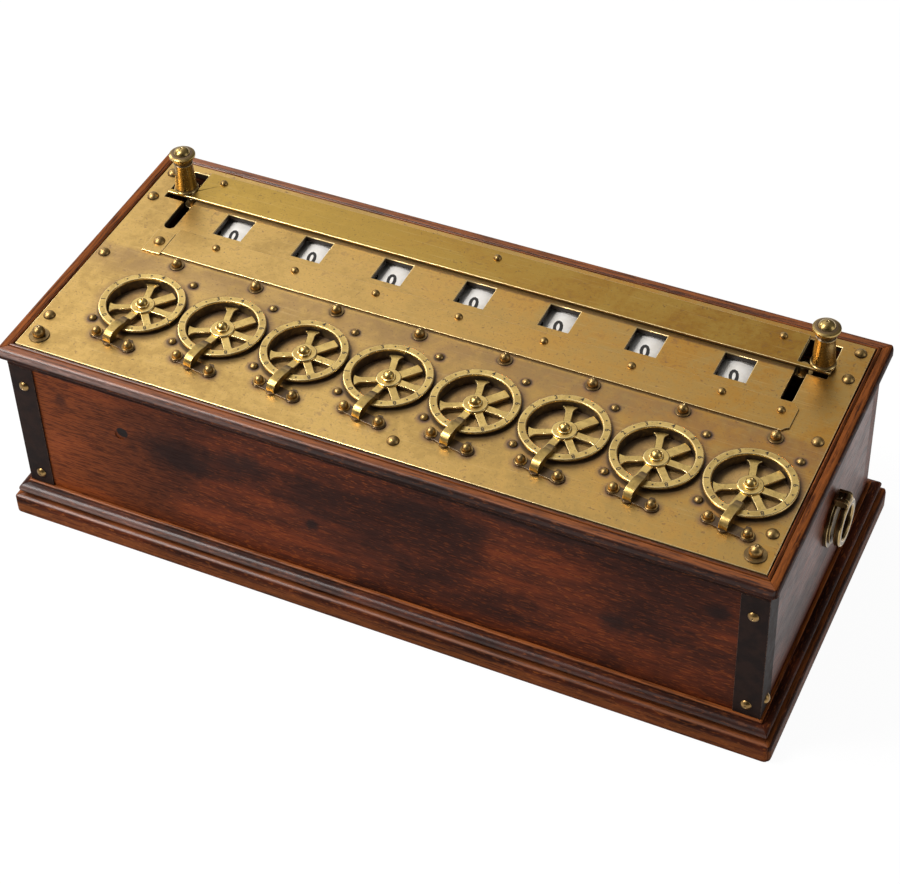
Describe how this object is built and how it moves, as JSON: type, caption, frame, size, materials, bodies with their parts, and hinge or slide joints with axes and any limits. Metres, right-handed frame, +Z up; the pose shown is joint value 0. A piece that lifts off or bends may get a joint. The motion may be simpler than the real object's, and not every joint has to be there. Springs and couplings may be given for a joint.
{
  "type": "mechanical calculator",
  "caption": "Wooden case with a brass top: spoked input dials turn number drums behind windows, and a sliding bar covers one row.",
  "frame": {"origin": "middle of the underside, on the surface that the case stands on", "axes": "+X along the case to the right as seen from the front, +Y to the back, +Z up out of the brass top"},
  "size_m": [0.36, 0.16, 0.123],
  "materials": {
    "dark_wood": "polished, worn and crazed",
    "strip_metal": "dark lacquer, worn",
    "plate_brass": "old lacquered brass, brown stains",
    "dial_brass": "old brass, bright worn edges",
    "screw_brass": "polished, stained",
    "movement_brass": "filed, dull",
    "movement_steel": "filed, oiled",
    "drum_white": "white, satin, black numerals"
  },
  "bodies": {
    "case": {"back_panel": "dark_wood", "base_moulding": "dark_wood", "bottom_board": "dark_wood", "corner_strip_screws": "screw_brass", "corner_strips": "strip_metal", "dial_floors": "dial_brass", "dial_rings": "dial_brass", "front_panel": "dark_wood", "handle_rosettes": "strip_metal", "left_end_panel": "dark_wood", "lid_moulding": "dark_wood", "movement_frame": "movement_brass", "right_end_panel": "dark_wood", "stop_fingers": "dial_brass", "top_plate": "plate_brass", "top_plate_screws": "screw_brass", "window_strip": "plate_brass"},
    "cover_bar": {"cover_bar": "plate_brass", "cover_bar_fasteners": "screw_brass", "cover_bar_knobs": "screw_brass"},
    "ring_handle_left": {"ring_handle_left": "screw_brass"},
    "ring_handle_right": {"ring_handle_right": "screw_brass"},
    "dial_wheel_1": {"dial_wheel_1": "dial_brass"},
    "main_shaft_1": {"main_shaft_1": "movement_steel"},
    "pawl_1": {"pawl_1": "movement_steel"},
    "number_drum_1": {"number_drum_1": "drum_white"},
    "carry_lever_1": {"carry_lever_1": "movement_steel"},
    "dial_wheel_2": {"dial_wheel_2": "dial_brass"},
    "main_shaft_2": {"main_shaft_2": "movement_steel"},
    "pawl_2": {"pawl_2": "movement_steel"},
    "number_drum_2": {"number_drum_2": "drum_white"},
    "carry_lever_2": {"carry_lever_2": "movement_steel"},
    "dial_wheel_3": {"dial_wheel_3": "dial_brass"},
    "main_shaft_3": {"main_shaft_3": "movement_steel"},
    "pawl_3": {"pawl_3": "movement_steel"},
    "number_drum_3": {"number_drum_3": "drum_white"},
    "carry_lever_3": {"carry_lever_3": "movement_steel"},
    "dial_wheel_4": {"dial_wheel_4": "dial_brass"},
    "main_shaft_4": {"main_shaft_4": "movement_steel"},
    "pawl_4": {"pawl_4": "movement_steel"},
    "number_drum_4": {"number_drum_4": "drum_white"},
    "carry_lever_4": {"carry_lever_4": "movement_steel"},
    "dial_wheel_5": {"dial_wheel_5": "dial_brass"},
    "main_shaft_5": {"main_shaft_5": "movement_steel"},
    "pawl_5": {"pawl_5": "movement_steel"},
    "number_drum_5": {"number_drum_5": "drum_white"},
    "carry_lever_5": {"carry_lever_5": "movement_steel"},
    "dial_wheel_6": {"dial_wheel_6": "dial_brass"},
    "main_shaft_6": {"main_shaft_6": "movement_steel"},
    "pawl_6": {"pawl_6": "movement_steel"},
    "number_drum_6": {"number_drum_6": "drum_white"},
    "carry_lever_6": {"carry_lever_6": "movement_steel"},
    "dial_wheel_7": {"dial_wheel_7": "dial_brass"},
    "main_shaft_7": {"main_shaft_7": "movement_steel"},
    "pawl_7": {"pawl_7": "movement_steel"},
    "number_drum_7": {"number_drum_7": "drum_white"},
    "carry_lever_7": {"carry_lever_7": "movement_steel"},
    "dial_wheel_8": {"dial_wheel_8": "dial_brass"},
    "main_shaft_8": {"main_shaft_8": "movement_steel"},
    "pawl_8": {"pawl_8": "movement_steel"}
  },
  "joints": [
    {"name": "cover_bar_slide", "type": "slide", "parent": "case", "child": "cover_bar", "axis": [0, -1, 0], "range_m": [0, 0.02]},
    {"name": "ring_handle_left_swing", "type": "hinge", "parent": "case", "child": "ring_handle_left", "pos_m": [-0.1776, 0.013, 0.0639], "axis": [0, 1, 0], "range_deg": [0, 95]},
    {"name": "ring_handle_right_swing", "type": "hinge", "parent": "case", "child": "ring_handle_right", "pos_m": [0.1776, 0.013, 0.0639], "axis": [0, -1, 0], "range_deg": [0, 95]},
    {"name": "dial_1_spin", "type": "hinge", "parent": "case", "child": "dial_wheel_1", "pos_m": [-0.1304, -0.0275, 0.09], "axis": [0, 0, 1], "continuous": true},
    {"name": "main_shaft_1_spin", "type": "hinge", "parent": "case", "child": "main_shaft_1", "pos_m": [-0.1304, 0, 0.0726], "axis": [0, 1, 0], "continuous": true},
    {"name": "pawl_1_lift", "type": "hinge", "parent": "case", "child": "pawl_1", "pos_m": [-0.14524, 0.009, 0.08374], "axis": [0, -1, 0], "range_deg": [-11, 15]},
    {"name": "number_drum_1_spin", "type": "hinge", "parent": "case", "child": "number_drum_1", "pos_m": [-0.1194, 0.044, 0.0786], "axis": [0, 1, 0], "continuous": true},
    {"name": "carry_lever_1_lift", "type": "hinge", "parent": "case", "child": "carry_lever_1", "pos_m": [-0.1304, 0.003, 0.0726], "axis": [0, -1, 0], "range_deg": [0, 14]},
    {"name": "dial_2_spin", "type": "hinge", "parent": "case", "child": "dial_wheel_2", "pos_m": [-0.0906, -0.0275, 0.09], "axis": [0, 0, 1], "continuous": true},
    {"name": "main_shaft_2_spin", "type": "hinge", "parent": "case", "child": "main_shaft_2", "pos_m": [-0.0906, 0, 0.0726], "axis": [0, 1, 0], "continuous": true},
    {"name": "pawl_2_lift", "type": "hinge", "parent": "case", "child": "pawl_2", "pos_m": [-0.10544, 0.009, 0.08374], "axis": [0, -1, 0], "range_deg": [-11, 15]},
    {"name": "number_drum_2_spin", "type": "hinge", "parent": "case", "child": "number_drum_2", "pos_m": [-0.0796, 0.044, 0.0786], "axis": [0, 1, 0], "continuous": true},
    {"name": "carry_lever_2_lift", "type": "hinge", "parent": "case", "child": "carry_lever_2", "pos_m": [-0.0906, 0.003, 0.0726], "axis": [0, -1, 0], "range_deg": [0, 14]},
    {"name": "dial_3_spin", "type": "hinge", "parent": "case", "child": "dial_wheel_3", "pos_m": [-0.0508, -0.0275, 0.09], "axis": [0, 0, 1], "continuous": true},
    {"name": "main_shaft_3_spin", "type": "hinge", "parent": "case", "child": "main_shaft_3", "pos_m": [-0.0508, 0, 0.0726], "axis": [0, 1, 0], "continuous": true},
    {"name": "pawl_3_lift", "type": "hinge", "parent": "case", "child": "pawl_3", "pos_m": [-0.06564, 0.009, 0.08374], "axis": [0, -1, 0], "range_deg": [-11, 15]},
    {"name": "number_drum_3_spin", "type": "hinge", "parent": "case", "child": "number_drum_3", "pos_m": [-0.0398, 0.044, 0.0786], "axis": [0, 1, 0], "continuous": true},
    {"name": "carry_lever_3_lift", "type": "hinge", "parent": "case", "child": "carry_lever_3", "pos_m": [-0.0508, 0.003, 0.0726], "axis": [0, -1, 0], "range_deg": [0, 14]},
    {"name": "dial_4_spin", "type": "hinge", "parent": "case", "child": "dial_wheel_4", "pos_m": [-0.011, -0.0275, 0.09], "axis": [0, 0, 1], "continuous": true},
    {"name": "main_shaft_4_spin", "type": "hinge", "parent": "case", "child": "main_shaft_4", "pos_m": [-0.011, 0, 0.0726], "axis": [0, 1, 0], "continuous": true},
    {"name": "pawl_4_lift", "type": "hinge", "parent": "case", "child": "pawl_4", "pos_m": [-0.02584, 0.009, 0.08374], "axis": [0, -1, 0], "range_deg": [-11, 15]},
    {"name": "number_drum_4_spin", "type": "hinge", "parent": "case", "child": "number_drum_4", "pos_m": [0, 0.044, 0.0786], "axis": [0, 1, 0], "continuous": true},
    {"name": "carry_lever_4_lift", "type": "hinge", "parent": "case", "child": "carry_lever_4", "pos_m": [-0.011, 0.003, 0.0726], "axis": [0, -1, 0], "range_deg": [0, 14]},
    {"name": "dial_5_spin", "type": "hinge", "parent": "case", "child": "dial_wheel_5", "pos_m": [0.0288, -0.0275, 0.09], "axis": [0, 0, 1], "continuous": true},
    {"name": "main_shaft_5_spin", "type": "hinge", "parent": "case", "child": "main_shaft_5", "pos_m": [0.0288, 0, 0.0726], "axis": [0, 1, 0], "continuous": true},
    {"name": "pawl_5_lift", "type": "hinge", "parent": "case", "child": "pawl_5", "pos_m": [0.01396, 0.009, 0.08374], "axis": [0, -1, 0], "range_deg": [-11, 15]},
    {"name": "number_drum_5_spin", "type": "hinge", "parent": "case", "child": "number_drum_5", "pos_m": [0.0398, 0.044, 0.0786], "axis": [0, 1, 0], "continuous": true},
    {"name": "carry_lever_5_lift", "type": "hinge", "parent": "case", "child": "carry_lever_5", "pos_m": [0.0288, 0.003, 0.0726], "axis": [0, -1, 0], "range_deg": [0, 14]},
    {"name": "dial_6_spin", "type": "hinge", "parent": "case", "child": "dial_wheel_6", "pos_m": [0.0686, -0.0275, 0.09], "axis": [0, 0, 1], "continuous": true},
    {"name": "main_shaft_6_spin", "type": "hinge", "parent": "case", "child": "main_shaft_6", "pos_m": [0.0686, 0, 0.0726], "axis": [0, 1, 0], "continuous": true},
    {"name": "pawl_6_lift", "type": "hinge", "parent": "case", "child": "pawl_6", "pos_m": [0.05376, 0.009, 0.08374], "axis": [0, -1, 0], "range_deg": [-11, 15]},
    {"name": "number_drum_6_spin", "type": "hinge", "parent": "case", "child": "number_drum_6", "pos_m": [0.0796, 0.044, 0.0786], "axis": [0, 1, 0], "continuous": true},
    {"name": "carry_lever_6_lift", "type": "hinge", "parent": "case", "child": "carry_lever_6", "pos_m": [0.0686, 0.003, 0.0726], "axis": [0, -1, 0], "range_deg": [0, 14]},
    {"name": "dial_7_spin", "type": "hinge", "parent": "case", "child": "dial_wheel_7", "pos_m": [0.1084, -0.0275, 0.09], "axis": [0, 0, 1], "continuous": true},
    {"name": "main_shaft_7_spin", "type": "hinge", "parent": "case", "child": "main_shaft_7", "pos_m": [0.1084, 0, 0.0726], "axis": [0, 1, 0], "continuous": true},
    {"name": "pawl_7_lift", "type": "hinge", "parent": "case", "child": "pawl_7", "pos_m": [0.09356, 0.009, 0.08374], "axis": [0, -1, 0], "range_deg": [-11, 15]},
    {"name": "number_drum_7_spin", "type": "hinge", "parent": "case", "child": "number_drum_7", "pos_m": [0.1194, 0.044, 0.0786], "axis": [0, 1, 0], "continuous": true},
    {"name": "carry_lever_7_lift", "type": "hinge", "parent": "case", "child": "carry_lever_7", "pos_m": [0.1084, 0.003, 0.0726], "axis": [0, -1, 0], "range_deg": [0, 14]},
    {"name": "dial_8_spin", "type": "hinge", "parent": "case", "child": "dial_wheel_8", "pos_m": [0.1482, -0.0275, 0.09], "axis": [0, 0, 1], "continuous": true},
    {"name": "main_shaft_8_spin", "type": "hinge", "parent": "case", "child": "main_shaft_8", "pos_m": [0.1482, 0, 0.0726], "axis": [0, 1, 0], "continuous": true},
    {"name": "pawl_8_lift", "type": "hinge", "parent": "case", "child": "pawl_8", "pos_m": [0.13336, 0.009, 0.08374], "axis": [0, -1, 0], "range_deg": [-11, 15]}
  ],
  "couplings": [
    {"joint": "main_shaft_1_spin", "follows": "dial_1_spin", "ratio": -1},
    {"joint": "number_drum_1_spin", "follows": "dial_1_spin", "ratio": 1},
    {"joint": "main_shaft_2_spin", "follows": "dial_2_spin", "ratio": -1},
    {"joint": "number_drum_2_spin", "follows": "dial_2_spin", "ratio": 1},
    {"joint": "main_shaft_3_spin", "follows": "dial_3_spin", "ratio": -1},
    {"joint": "number_drum_3_spin", "follows": "dial_3_spin", "ratio": 1},
    {"joint": "main_shaft_4_spin", "follows": "dial_4_spin", "ratio": -1},
    {"joint": "number_drum_4_spin", "follows": "dial_4_spin", "ratio": 1},
    {"joint": "main_shaft_5_spin", "follows": "dial_5_spin", "ratio": -1},
    {"joint": "number_drum_5_spin", "follows": "dial_5_spin", "ratio": 1},
    {"joint": "main_shaft_6_spin", "follows": "dial_6_spin", "ratio": -1},
    {"joint": "number_drum_6_spin", "follows": "dial_6_spin", "ratio": 1},
    {"joint": "main_shaft_7_spin", "follows": "dial_7_spin", "ratio": -1},
    {"joint": "number_drum_7_spin", "follows": "dial_7_spin", "ratio": 1},
    {"joint": "main_shaft_8_spin", "follows": "dial_8_spin", "ratio": -1}
  ]
}
